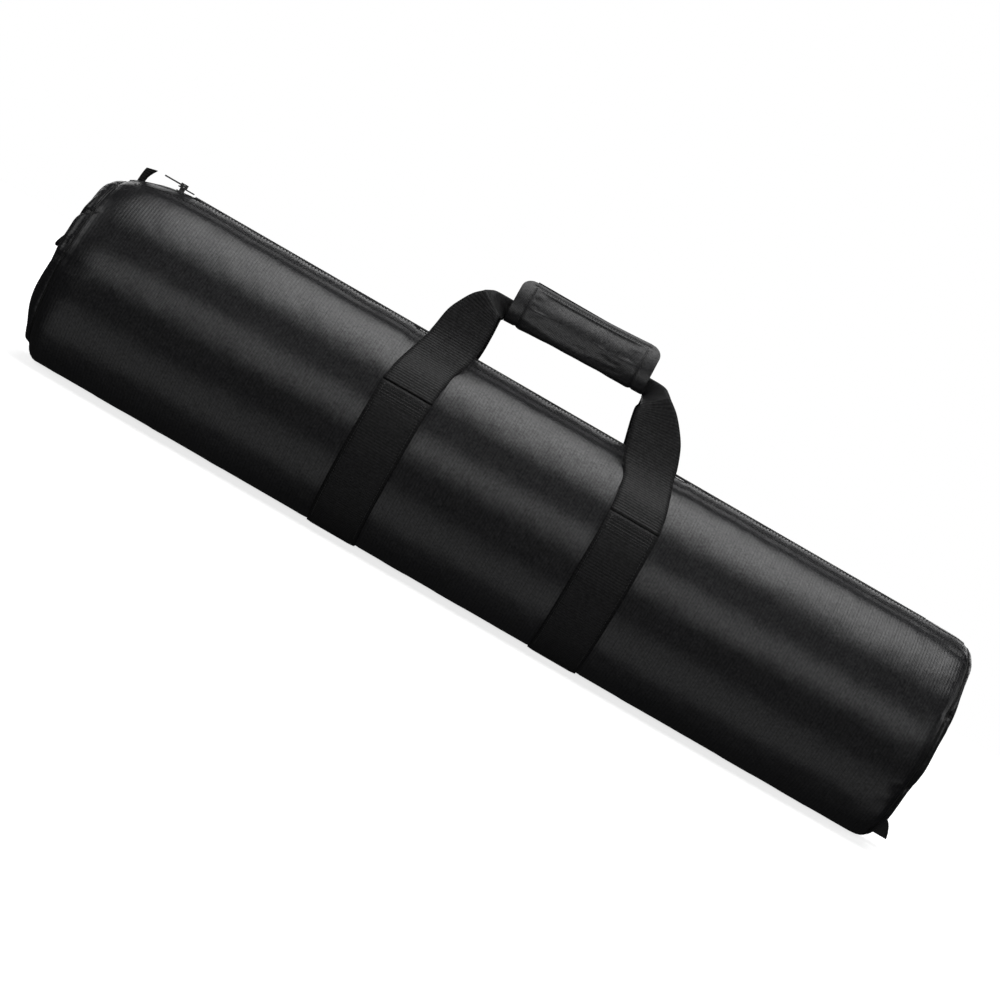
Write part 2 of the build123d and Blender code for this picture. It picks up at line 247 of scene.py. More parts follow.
# ---- materials ----------------------------------------------------------
def new_material(name):
    material = bpy.data.materials.new(name)
    material.use_nodes = True
    tree = material.node_tree
    return material, tree, tree.nodes["Principled BSDF"]


def add(tree, kind, **values):
    node = tree.nodes.new(kind)
    for key, value in values.items():
        if hasattr(node, key):
            setattr(node, key, value)
        else:
            node.inputs[key].default_value = value
    return node


def band(tree, vector, direction, pitch, distortion=0.0):
    """A sine wave of the given pitch, from 0 to 1, across one direction of the coordinates."""
    wave = add(tree, "ShaderNodeTexWave", wave_type="BANDS", bands_direction=direction, wave_profile="SIN")
    wave.inputs["Scale"].default_value = 2 * pi / (20 * pitch)
    wave.inputs["Distortion"].default_value = distortion
    wave.inputs["Detail"].default_value = 0
    tree.links.new(vector, wave.inputs["Vector"])
    return wave.outputs["Fac"]


def blended(tree, operation, a, b):
    node = add(tree, "ShaderNodeMath", operation=operation)
    for socket, value in zip(node.inputs, (a, b)):
        if isinstance(value, (int, float)):
            socket.default_value = value
        else:
            tree.links.new(value, socket)
    return node.outputs[0]


def scaled_range(tree, value, low, high):
    node = add(tree, "ShaderNodeMapRange")
    node.inputs["To Min"].default_value = low
    node.inputs["To Max"].default_value = high
    tree.links.new(value, node.inputs["Value"])
    return node.outputs["Result"]


def colour_mix(tree, factor, dark, light):
    ramp = add(tree, "ShaderNodeValToRGB")
    ramp.color_ramp.elements[0].color = (*dark, 1)
    ramp.color_ramp.elements[1].color = (*light, 1)
    tree.links.new(factor, ramp.inputs["Fac"])
    return ramp.outputs["Color"]


def noise_value(tree, vector, scale, detail):
    node = add(tree, "ShaderNodeTexNoise")
    node.inputs["Scale"].default_value = scale
    node.inputs["Detail"].default_value = detail
    tree.links.new(vector, node.inputs["Vector"])
    return node.outputs["Fac"]


def relief_normal(tree, shader, height, strength, distance):
    bump = add(tree, "ShaderNodeBump")
    bump.inputs["Strength"].default_value = strength
    bump.inputs["Distance"].default_value = distance
    tree.links.new(height, bump.inputs["Height"])
    tree.links.new(bump.outputs["Normal"], shader.inputs["Normal"])


def cloth_material(name, dark, light, roughness, pitch, relief, specular, rib=None, aspect=1.0):
    """Woven cloth: warp and weft threads, uneven dye and wear, an optional coarser rib, and painted shade
    that darkens the colour in the hollows between threads and ribs.
    """
    material, tree, shader = new_material(name)
    uv = add(tree, "ShaderNodeTexCoord").outputs["UV"]
    place = add(tree, "ShaderNodeTexCoord").outputs["Object"]
    warp = band(tree, uv, "X", pitch)
    weft = band(tree, uv, "Y", pitch * aspect)
    height = blended(tree, "MAXIMUM", warp, blended(tree, "MULTIPLY", weft, 0.85))
    if rib:
        direction, rib_pitch, rib_height = rib
        coarse = band(tree, uv, direction, rib_pitch, 0.6)
        height = blended(tree, "ADD", height, blended(tree, "MULTIPLY", coarse, rib_height))
    cloud = blended(tree, "MULTIPLY", noise_value(tree, place, 9.0, 4.0), 0.5)
    speckle = noise_value(tree, place, 420.0, 2.0)
    tone = blended(tree, "ADD", cloud, blended(tree, "MULTIPLY", speckle, 0.5))
    # Painted shade: the colour is darker where the weave is low, in the hollows between the threads and
    # ribs.
    tone = blended(tree, "MULTIPLY", tone, scaled_range(tree, height, 0.3, 1.25))
    tree.links.new(colour_mix(tree, tone, dark, light), shader.inputs["Base Color"])
    polish = scaled_range(tree, speckle, roughness - 0.07, roughness + 0.07)
    tree.links.new(polish, shader.inputs["Roughness"])
    relief_normal(tree, shader, height, 0.6, relief)
    raised = scaled_range(tree, height, 0.42, 0.95)
    worn = blended(tree, "MULTIPLY", raised, scaled_range(tree, speckle, 0.3, 1.7))
    tree.links.new(blended(tree, "MULTIPLY", worn, specular), shader.inputs["Specular IOR Level"])
    return material


def plain_material(name, dark, light, roughness, scale=600.0, relief=0.05 * MM, specular=0.5):
    """A moulded, enamelled or spun surface with fine grain and uneven polish."""
    material, tree, shader = new_material(name)
    place = add(tree, "ShaderNodeTexCoord").outputs["Object"]
    grain = noise_value(tree, place, scale, 3.0)
    wear = noise_value(tree, place, scale / 12, 4.0)
    tree.links.new(colour_mix(tree, wear, dark, light), shader.inputs["Base Color"])
    polish = scaled_range(tree, wear, roughness - 0.08, roughness + 0.1)
    tree.links.new(polish, shader.inputs["Roughness"])
    relief_normal(tree, shader, grain, 0.5, relief)
    shader.inputs["Specular IOR Level"].default_value = specular
    return material


COVER = cloth_material(
    "cover_fabric", (0.004, 0.004, 0.0045), (0.022, 0.022, 0.024), roughness=0.33,
    pitch=1.3 * MM, relief=0.12 * MM, specular=0.57, rib=("X", 3.0 * MM, 0.9),
)
GRIP = cloth_material(
    "grip_fabric", (0.005, 0.005, 0.0055), (0.026, 0.026, 0.028), roughness=0.36,
    pitch=1.4 * MM, relief=0.16 * MM, specular=0.62,
)
LINING = cloth_material(
    "lining", (0.020, 0.020, 0.022), (0.055, 0.055, 0.060), roughness=0.55,
    pitch=0.9 * MM, relief=0.05 * MM, specular=0.4,
)
WEBBING = cloth_material(
    "webbing", (0.003, 0.003, 0.003), (0.013, 0.013, 0.014), roughness=0.52,
    pitch=1.6 * MM, relief=0.26 * MM, specular=0.30, rib=("Y", 2.7 * MM, 1.4), aspect=0.8,
)
TAPE = cloth_material(
    "zip_tape", (0.003, 0.003, 0.003), (0.010, 0.010, 0.011), roughness=0.75,
    pitch=0.8 * MM, relief=0.08 * MM, specular=0.2,
)
THREAD = plain_material("thread", (0.012, 0.012, 0.012), (0.045, 0.045, 0.047), 0.55)
COIL = plain_material("zip_coil", (0.003, 0.003, 0.003), (0.010, 0.010, 0.010), 0.5, specular=0.25)
METAL = plain_material("zip_metal", (0.006, 0.006, 0.006), (0.025, 0.025, 0.025), 0.35, 300.0)
RING = plain_material("ring_metal", (0.006, 0.006, 0.006), (0.025, 0.025, 0.026), 0.35, 300.0)
TOUCH = plain_material(
    "touch_fastener", (0.006, 0.006, 0.006), (0.02, 0.02, 0.02), 0.85, scale=1400.0, relief=0.9 * MM
)

# ---- the shape of the stuffed tube --------------------------------------
# Long soft folds in the foam, as (height angle, depth, width in degrees), the same front and rear.
FOLDS = ((66, 0.9, 3.2), (22, 0.5, 5.0), (-9, 0.5, 5.0), (-48, 0.5, 7.0))
TOP_SHOULDER, LEFT_SHOULDER, RIGHT_SHOULDER = 90 * MM, 34 * MM, 22 * MM
LEFT_SEAM, RIGHT_SEAM = -HALF - 3 * MM, HALF + 4.5 * MM
# Pinches, and one puff, near the end seams, as (x, height angle, depth, length, width).
FRONT_DENTS = (
    (441, -21.4, 4.2, 5.5, 2.2),
    (435, -28, -1.8, 7, 7),
    (444, 23.5, 3.0, 3, 5),
    (-440, 32.5, 2.6, 4, 2.5),
    (430, 62, 0.9, 16, 5),
)
REAR_DENTS = ((438, 190, 3.5, 5, 3), (-436, 152, 3.0, 5, 4), (-436, 205, 2.6, 4, 4))


def shell_radius(x, phi):
    """Distance from the tube's axis to the outside of its cover, round at angle phi from the front."""
    upper = np.clip(np.sin(phi), 0, 1) ** 1.5
    droop = np.clip((-x - HALF + TOP_SHOULDER) / TOP_SHOULDER, 0, 1) ** 2.6
    shoulder = LEFT_SHOULDER - 20 * MM * np.clip(-np.sin(phi), 0, 1)
    left = np.clip((LEFT_SEAM + shoulder - x) / shoulder, 0, 1) ** 2
    right = np.clip((x - RIGHT_SEAM + RIGHT_SHOULDER) / RIGHT_SHOULDER, 0, 1) ** 2
    end = np.minimum(x - LEFT_SEAM, RIGHT_SEAM - x)
    r = RADIUS - (16 * upper * droop + 9 * (1 - upper) * left + 2.6 * right) * MM
    r = r - np.where(x < 0, 4.2, 2.2) * MM * dip(end, 2.4 * MM)
    rise = np.degrees(np.arcsin(np.clip(np.sin(phi), -1, 1)))
    r = r - 0.8 * MM * dip(rise - 90, 20)
    for place, angle, depth, length, width in FRONT_DENTS + REAR_DENTS:
        off = np.angle(np.exp(1j * (phi - radians(angle)))) * RADIUS
        r = r - depth * MM * dip(x - place * MM, length * MM) * dip(off, width * MM)
    calm = smooth(end / (45 * MM))
    arc = phi * RADIUS
    for angle, depth, width in FOLDS:
        uneven = 1 + 0.25 * ripple(x, arc * 0.1, 0.22, int(angle) + 90)
        r = r - depth * MM * calm * uneven * dip(rise - angle, width)
    gathers = ripple(arc, x * 0.3, 26 * MM, 5) * dip(end, 20 * MM)
    puckers = 0.6 * ripple(arc, x * 0.2, 11 * MM, 6) * dip(end, 9 * MM)
    r = r - np.where(x < 0, 0.4, 0.25) * MM * (gathers + puckers)
    under_strap = smooth((STRAP_WIDTH / 2 + 5 * MM - np.abs(np.abs(x) - STRAP_X)) / (6 * MM))
    r = r - 1.3 * MM * under_strap
    wrinkle = 0.22 * ripple(x, arc, 75 * MM, 1) + 0.09 * ripple(x, arc, 30 * MM, 2)
    wrinkle = wrinkle + 0.035 * ripple(x, arc, 12 * MM, 3)
    return r + wrinkle * MM * (1 - 0.7 * under_strap)


def shell_point(x, phi, depth=0.0):
    r = shell_radius(x, phi) - depth
    z = AXIS + r * np.sin(phi)
    z = np.maximum(z, UNDERSIDE + depth)
    return np.stack(np.broadcast_arrays(x, -r * np.cos(phi), z), axis=-1)


def shell_normal(x, phi):
    return np.stack(np.broadcast_arrays(0.0 * x * phi, -np.cos(phi), np.sin(phi)), axis=-1)


def shell_grid(phi_from, phi_to, count, depth, trim=0.0, step=3 * MM):
    x = np.linspace(LEFT_SEAM + trim, RIGHT_SEAM - trim, int(2 * HALF / step))
    phi = np.linspace(phi_from, phi_to, count)
    xx, pp = np.meshgrid(x, phi, indexing="ij")
    uv = np.stack([xx, pp * RADIUS], axis=-1)
    return shell_point(xx, pp, depth), uv


def shell_piece(name, phi_from, phi_to, count, body, foam):
    """One panel of the tube, its padded cover and the lining inside it, over a range of angles."""
    outer, uv = shell_grid(phi_from, phi_to, count, 0.0)
    inner, _ = shell_grid(phi_from, phi_to, count, PAD_DEPTH)
    piece = pad(name + "_pad", outer, inner, uv, COVER)
    inside, uv = shell_grid(phi_from, phi_to, count // 3, LINING_DEPTH, 2 * MM, 9 * MM)
    lining = sheet_mesh(name + "_lining_cloth", inside, uv, LINING)
    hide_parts(name + "_cover", *foam)
    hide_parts(name + "_lining")
    if body == "root":
        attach(piece, "root")
        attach(lining, "root")
    else:
        for bent in (piece, lining):
            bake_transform(bent)


def foams(*, starting="", without=()):
    """The foam nodes whose names start one way and hold none of the given words."""
    named = [n for n in frame["nodes"] if "_foam" in n and n.startswith(starting)]
    return [n for n in named if not any(word in n for word in without)]


lower_foams = foams(without=("lip", "end", "grip"))
shell_piece("lower", PANEL_SEAM, -pi - PANEL_SEAM, 150, "root", lower_foams)
shell_piece("front_lip", LIP_EDGE, PANEL_SEAM, 46, "front_lip", foams(starting="front_lip"))
shell_piece("rear_lip", -pi - PANEL_SEAM, -pi - LIP_EDGE, 46, "rear_lip", foams(starting="rear_lip"))


# ---- end panels ---------------------------------------------------------
# Creases pinched in at the rim, as (angle, depth, width in degrees, length along the radius).
LEFT_CREASES = ((32.5, 3.2, 2.2, 0.5), (-62, 2.6, 5.0, 0.25), (118, 3.0, 5, 0.3), (200, 3, 5, 0.3))
RIGHT_CREASES = (
    (23.5, 3.2, 3.0, 0.2),
    (-21.4, 5.5, 3.0, 0.25),
    (-46, 1.5, 3.0, 0.15),
    (140, 3.0, 5, 0.3),
    (212, 3, 5, 0.3),
)
DOME_POWER = 2 / 2.5


def end_panel(side):
    """A padded end, domed out from its seam, with its lining inside."""
    name = "left_end" if side < 0 else "right_end"
    creases = LEFT_CREASES if side < 0 else RIGHT_CREASES
    rings, spokes = 44, 220
    turn = np.linspace(0, 1, rings)
    phi = np.linspace(0, -2 * pi, spokes, endpoint=False) * -side
    tt, pp = np.meshgrid(turn, phi, indexing="ij")
    seam_x = LEFT_SEAM if side < 0 else RIGHT_SEAM
    seam = abs(seam_x)
    bulge = LEFT_TIP + (3 * MM if side < 0 else 0) - seam
    inward = 1 - tt   # from 0 at the seam to 1 at the middle of the panel

    def dome(depth):
        rim = shell_radius(np.full_like(pp, seam_x), pp) - depth
        angle = inward * pi / 2
        r = np.maximum(np.cos(angle) ** DOME_POWER, 0.004) * rim
        arc = pp * RADIUS
        x = (bulge - depth * 0.8) * np.sin(angle) ** DOME_POWER
        x = x + 0.9 * MM * ripple(r * np.cos(pp), r * np.sin(pp), 60 * MM, 20 + side) * smooth(inward * 3)
        off_seam = smooth(inward * 14)
        x = x - 0.6 * MM * ripple(arc, tt * 0.02, 30 * MM, 30 + side) * dip(inward, 0.22) * off_seam
        x = x - 0.25 * MM * ripple(arc, tt * 0.02, 11 * MM, 40 + side) * dip(inward, 0.1) * off_seam
        for place, deep, width, reach in creases:
            off = np.degrees(np.angle(np.exp(1j * (pp - radians(place)))))
            across = dip(off, width * (0.4 + 1.2 * inward / reach))
            pinch = deep * MM * across * dip(inward - 0.06, reach * 0.7)
            x = x - pinch * smooth(inward * 20)
            r = r - 0.5 * pinch
        z = np.maximum(AXIS + r * np.sin(pp), UNDERSIDE + depth)
        return np.stack([side * (seam + x), -r * np.cos(pp), z], axis=-1)

    outer, inner = dome(0.0), dome(PAD_DEPTH)
    uv = np.stack([outer[..., 2], outer[..., 1]], axis=-1)
    centre = pad(name + "_pad", outer[::-1], inner[::-1], uv[::-1], COVER, True)
    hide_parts(name + "_cover", name + "_foam")
    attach(centre, "root")
    inside = dome(LINING_DEPTH)
    uv = np.stack([inside[..., 2], inside[..., 1]], axis=-1)
    cloth = sheet_mesh(name + "_lining_cloth", inside[::-1][::2, ::4], uv[::-1][::2, ::4], LINING, True)
    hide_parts(name + "_lining")
    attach(cloth, "root")


def seam_line(side):
    """The shadowed stitched line sunk between the tube's cover and the end panel."""
    name = "left_end" if side < 0 else "right_end"
    phi = np.linspace(0, 2 * pi, 240, endpoint=False)
    x = np.full_like(phi, LEFT_SEAM if side < 0 else RIGHT_SEAM)
    section = ((0.7, -1.1), (1.0, 0), (0.7, 1.1), (-1.5, 1.1), (-1.5, -1.1))   # (outward, along x)
    rings = [shell_point(x, phi, -out * MM) + np.array([along * MM, 0, 0]) for out, along in section]
    points = np.concatenate(rings)
    count = len(phi)
    faces = []
    for ring in range(len(section)):
        near, far = ring * count, (ring + 1) % len(section) * count
        for k in range(count):
            after = (k + 1) % count
            faces.append((near + k, near + after, far + after, far + k))
    line = mesh_piece(name + "_seam_line", points, faces, material=COIL)
    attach(line, "root")


for side in (-1, 1):
    end_panel(side)
    seam_line(side)


# ---- straps, handles ----------------------------------------------------
def body_strap(side):
    """Webbing sewn on from one handle's foot, under the tube, to the other's."""
    name = "left_body_strap" if side < 0 else "right_body_strap"
    phi = np.linspace(SEWN - radians(0.2), -pi - SEWN + radians(0.2), 130)
    edges = []
    for offset in (-1, 1):
        x = np.full_like(phi, side * STRAP_X + offset * STRAP_WIDTH / 2)
        r = STRAP_SEAT + STRAP_THICKNESS / 2
        z = np.maximum(AXIS + r * np.sin(phi), 1.2 * MM)
        edges.append(np.stack([x, -r * np.cos(phi), z], axis=-1))
    strap = ribbon(name + "_webbing", edges[1], edges[0], STRAP_THICKNESS, WEBBING)
    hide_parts(name)
    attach(strap, "root")


body_strap(-1)
body_strap(1)


def leg_curves(rear):
    """The two edges of one handle, from the left sewn end through the grip to the right sewn end.

    The points are in millimetres, and their heights are from the tube's axis."""
    lying = 104.4

    def on_tube(x, angle):
        return (x, -lying * cos(radians(angle)), lying * sin(radians(angle)))

    sewn = SEWN * 180 / pi + 0.2
    left = [  # outer edge, inner edge
        (on_tube(-142, sewn), on_tube(-92, sewn)),
        (on_tube(-139.5, 40), on_tube(-90.5, 40)),
        (on_tube(-135.5, 52), on_tube(-87.8, 52)),
        ((-130.5, -53, 98), (-82, -53, 97)),
        ((-128, -46, 112), (-80, -46, 112)),
        ((-124.8, -41.5, 131), (-79.9, -41.5, 129)),
        ((-118.6, -39.5, 144.8), (-80.3, -39.5, 139.5)),
        ((-112.3, -38.5, 155), (-80.6, -38.5, 145)),
        ((-105.5, -37.5, 161.6), (-80.5, -37, 147.4)),
        ((-104.6, -35.5, 162.6), (-80.4, -35, 147.2)),
        ((-101.5, -29, 164.6), (-79.6, -28, 147)),
        ((-97.5, -16, 166.8), (-78.6, -16, 147.4)),
        ((-92.5, -6.5, 167.6), (-78, -6.5, 149.2)),
        ((-86, -3.2, 167.9), (-77, -3.4, 150.2)),
        ((-74, -2.2, 168), (-74, -2.2, 151)),
    ]
    right = [
        (on_tube(142, sewn), on_tube(92, sewn)),
        (on_tube(139.5, 40), on_tube(90.5, 40)),
        (on_tube(135.5, 52), on_tube(87.4, 52)),
        ((131, -54, 97), (79.5, -54, 96)),
        ((128, -48.5, 110), (75.5, -48.5, 110)),
        ((121.5, -44, 127), (71.8, -44, 124)),
        ((113.5, -41.5, 139.5), (69.8, -41.5, 133)),
        ((103, -39.5, 152), (69, -39.5, 139)),
        ((92.3, -38, 160.6), (70.3, -37.5, 142.7)),
        ((90.8, -36, 162), (70.2, -35.5, 143)),
        ((88.2, -29, 164.4), (70, -28.5, 144.3)),
        ((84.6, -15, 167.2), (69.4, -15, 147)),
        ((78, -5.5, 168.6), (68.4, -5.5, 150)),
        ((64, -2.2, 168.9), (64, -2.2, 152)),
    ]
    bridge = [((-35, -2.2, 168.3), (-35, -2.2, 151.2)), ((25, -2.2, 168.6), (25, -2.2, 151.6))]
    pairs = left + bridge + right[::-1]
    curves = []
    for edge in zip(*pairs):
        curve = catmull(np.array(edge) * MM, 9)
        curve[:, 2] += AXIS
        if rear:
            curve[:, 1] *= -1
        curves.append(curve)
    return curves


for rear in (False, True):
    name = "rear_handle" if rear else "front_handle"
    edge_a, edge_b = leg_curves(rear)
    handle = ribbon(name + "_strap", edge_b, edge_a, STRAP_THICKNESS, WEBBING, 12)
    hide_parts(name + "_webbing")
    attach(handle, name)


def strap_row(x, phi):
    """Points on a strap's face at these places, with the normals there."""
    x = x + 0 * phi
    points = np.stack([x, -STRAP_FACE * np.cos(phi), AXIS + STRAP_FACE * np.sin(phi)], axis=-1)
    return points, shell_normal(x, phi)


def strap_stitching():
    """Seams along the straps' edges, and the stitched box at each handle's foot."""
    rows = []
    boxes = []
    box_low, row_low = SEWN - radians(11), radians(62)
    box_half = 21 * MM
    for side in (-1, 1):
        for offset in (-1, 1):
            x = side * STRAP_X + offset * (STRAP_WIDTH / 2 - 3 * MM)
            rows.append(strap_row(x, np.linspace(box_low, -row_low, 60)))
            rows.append(strap_row(x, np.linspace(-pi + row_low, -pi - box_low, 60)))
        for mirror in (np.array((1, 1, 1)), np.array((1, -1, 1))):
            ends = (side * STRAP_X - box_half, side * STRAP_X + box_half)
            levels = [SEWN - radians(step) for step in (1.6, 3.4, 5.2, 7.0, 9.4)]
            bars = [(ends, (level, level)) for level in levels]
            columns = [((end, end), (levels[0], levels[-1])) for end in ends]
            for (x_from, x_to), (phi_from, phi_to) in bars + columns:
                points, normals = strap_row(np.linspace(x_from, x_to, 12), np.linspace(phi_from, phi_to, 12))
                boxes.append((points * mirror, normals * mirror))
    seam = stitches("strap_edge_stitches", rows)
    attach(seam, "root")
    box = stitches("strap_bartack_stitches", boxes, 2.6 * MM, 2.1 * MM, 0.36 * MM)
    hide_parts("strap_bartacks")
    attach(box, "root")


strap_stitching()


# ---- grip ---------------------------------------------------------------
GRIP_TILT = radians(1.6)
GRIP_CENTRE = Vector((GRIP_X, 0, (GRIP_BOTTOM + GRIP_TOP) / 2))
END_HEM, TOP_HEM = 12.2, 5.0   # from the grip's edges to its stitched lines, in millimetres


def tilted(points):
    """The grip sits a little askew, its right end high."""
    turn = Matrix.Rotation(-GRIP_TILT, 3, "Y")
    level = points.reshape(-1, 3) - np.array((0, 0, GRIP_CENTRE.z))
    flat = level @ np.array(turn).T + np.array(GRIP_CENTRE)
    return flat.reshape(points.shape)


def inflate(piece, pinned, pressure, cap, frames=20):
    """Puff a closed pad with the cloth simulation, its stitched points held, and keep the result."""
    scene = bpy.context.scene
    rest = np.array([v.co for v in piece.data.vertices])
    group = piece.vertex_groups.new(name="held")
    for index in np.flatnonzero(pinned > 0):
        group.add([int(index)], float(pinned[index]), "REPLACE")
    cloth = piece.modifiers.new("puff", "CLOTH")
    settings = cloth.settings
    settings.vertex_group_mass = "held"
    settings.effector_weights.gravity = 0
    settings.use_pressure = True
    settings.uniform_pressure_force = pressure
    settings.tension_stiffness = 25
    settings.compression_stiffness = 25
    settings.bending_stiffness = 0.6
    settings.mass = 0.3
    settings.quality = 8
    for number in range(1, frames + 1):
        scene.frame_set(number)
    shown = piece.evaluated_get(bpy.context.evaluated_depsgraph_get())
    moved = np.array([v.co for v in shown.data.vertices])
    piece.modifiers.remove(cloth)
    piece.vertex_groups.remove(group)
    scene.frame_set(1)
    step = moved - rest
    size = np.linalg.norm(step, axis=1, keepdims=True)
    step *= np.minimum(1, cap / np.maximum(size, 1e-9))
    for vertex, co in zip(piece.data.vertices, rest + step):
        vertex.co = co
    piece.data.update()


def rounded_grid(half_length, profile, corner, columns):
    """A strip whose cross-section follows profile; its far corners are rounded by drawing the ends in."""
    run = np.concatenate([[0], np.cumsum(np.linalg.norm(np.diff(profile, axis=0), axis=1))])
    from_free = run[-1] - run
    chord = np.sqrt(np.maximum(corner**2 - (corner - from_free) ** 2, 0))
    cut = np.where(from_free < corner, corner - chord, 0)
    share = np.linspace(-1, 1, columns)
    x = share[:, None] * (half_length - cut)[None, :]
    grid = np.empty((columns, len(profile), 3))
    grid[..., 0] = x
    grid[..., 1:] = profile[None]
    return grid, run


def grip_flap():
    """The padded flap: up from behind the crossbar, round its front, leaning back to its stitched top."""
    shape = np.array([(4.5, 149.9), (-3, 149.3), (-8.5, 151.5), (-11.4, 157), (-12.2, 163), (-11.4, 169.5),
                      (-9.2, 175.5), (-6, 181.5), (-2, 187.5), (1.2, 191.6), (4.0, 194.8)])
    profile = catmull(shape, 5) * MM
    profile[:, 1] += AXIS
    outer, run = rounded_grid(GRIP_HALF, profile, 13 * MM, 75)
    way = unit(np.gradient(profile, axis=0))
    inward = np.stack([way[:, 1], -way[:, 0]], axis=-1)
    middle = np.array([0.0, AXIS + 172 * MM])
    inward *= np.sign(np.sum(inward * (middle - profile), axis=1, keepdims=True))
    x_share = np.abs(outer[..., 0]) / GRIP_HALF
    along = run[None, :] / run[-1]
    end_gap = (GRIP_HALF - np.abs(outer[..., 0])) / MM
    top_gap = (run[-1] - run)[None, :] / MM
    hem = np.minimum(smooth((end_gap - 11) / 5), smooth((top_gap - 3.5) / 4))
    thick = (1.6 + 3.6 * hem * smooth(along / 0.12)) * MM
    inner = outer.copy()
    inner[..., 1:] += inward[None] * thick[..., None]
    outer[..., 1:] -= inward[None] * (1.3 * MM * hem * smooth(along / 0.2))[..., None]
    seam = dip(end_gap - END_HEM, 1.3) * (top_gap > 4) + dip(top_gap - TOP_HEM, 1.3) * (end_gap > 11)
    outer[..., 1:] += inward[None] * (0.9 * MM * np.minimum(seam, 1))[..., None]
    outer[..., 2] += (1.0 * MM * x_share**2 - 0.9 * MM * (1 - x_share**2)) * smooth((along - 0.5) * 3)
    wobble = ripple(outer[..., 0], outer[..., 2], 26 * MM, 50)
    outer[..., 1:] -= inward[None] * (0.2 * MM * wobble * hem)[..., None]
    uv = np.stack([outer[..., 0], np.broadcast_to(run[None, :], outer.shape[:2])], axis=-1)
    piece = pad("grip_flap_pad", tilted(outer), tilted(inner), uv, GRIP)
    held = np.clip(1 - hem + np.minimum(seam, 1), 0, 1)
    inflate(piece, np.concatenate([held.ravel(), np.ones(held.size)]), 5.0, 1.0 * MM)
    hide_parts("grip_flap_cover", "grip_flap_foam")
    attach(piece, "grip_flap")
    return outer, inward, run


def surface_row(outer, inward, path):
    """Points and normals over the flap, along a path of grid places (column, profile place)."""
    columns, places = outer.shape[:2]
    points, normals = [], []
    for (column_from, place_from), (column_to, place_to) in zip(path, path[1:]):
        for share in np.linspace(0, 1, 30):
            c = np.clip(column_from + (column_to - column_from) * share, 0, columns - 1)
            p = np.clip(place_from + (place_to - place_from) * share, 0, places - 1)
            c0, p0 = int(min(c, columns - 2)), int(min(p, places - 2))
            u, v = c - c0, p - p0
            patch = outer[c0:c0 + 2, p0:p0 + 2]
            start = patch[0, 0] * (1 - u) + patch[1, 0] * u
            end = patch[0, 1] * (1 - u) + patch[1, 1] * u
            points.append(start * (1 - v) + end * v)
            normal = -(inward[p0] * (1 - v) + inward[p0 + 1] * v)
            normals.append((0, normal[0], normal[1]))
    return tilted(np.array(points)), np.array(normals)


def flap_stitching(outer, inward, run):
    """The line of stitches along the flap's ends and top."""
    places = np.arange(len(run))
    columns = len(outer) - 1
    near = END_HEM * MM / (2 * GRIP_HALF) * columns
    far = columns - near
    top = float(np.interp(run[-1] - TOP_HEM * MM, run, places))
    low = float(np.interp(14 * MM, run, places))
    path = [(near, low), (near, top - 2), (near + 1.2, top), (far - 1.2, top), (far, top - 2), (far, low)]
    seam = stitches("grip_flap_stitches", [surface_row(outer, inward, path)], 2.8 * MM, 2.1 * MM, 0.3 * MM)
    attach(seam, "grip_flap")


flap_stitching(*grip_flap())


def grip_back():
    """The grip's rear pad, rounded at its top corners."""
    columns, rows = 60, 26
    low_z, high_z = GRIP_BOTTOM + 1.2 * MM, GRIP_TOP - 2.0 * MM
    share = np.linspace(-1, 1, columns)
    level = np.linspace(-1, 1, rows)
    uu, vv = np.meshgrid(share, level, indexing="ij")
    x = uu * (GRIP_HALF - 1 * MM)
    corner = 12 * MM
    into = np.clip(np.abs(x) - (GRIP_HALF - 1 * MM - corner), 0, corner)
    drop = corner - np.sqrt(corner**2 - into**2)
    top = high_z - drop
    bottom = low_z + 0.3 * drop
    z = (bottom + top) / 2 + vv * (top - bottom) / 2
    edge = smooth((1 - np.maximum(np.abs(uu), np.abs(vv))) * 5)
    lean = 2.4 * MM * smooth((z - high_z + 22 * MM) / (20 * MM))
    puff = (4.6 + 0.3 * ripple(x, z, 25 * MM, 61)) * MM * edge
    outer = np.stack([x, 5.0 * MM + puff + lean, z], axis=-1)
    inner = np.stack([x, 4.2 * MM - 0.9 * MM * edge + lean, z], axis=-1)
    uv = np.stack([x, z], axis=-1)
    piece = pad("grip_back_pad", tilted(outer[::-1]), tilted(inner[::-1]), uv[::-1], GRIP)
    held = 1 - smooth((1 - np.maximum(np.abs(uu), np.abs(vv))) * 6)
    inflate(piece, np.concatenate([held[::-1].ravel(), np.ones(held.size)]), 5.0, 1.2 * MM)
    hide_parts("grip_back_cover", "grip_back_foam")
    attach(piece, "rear_handle")


grip_back()


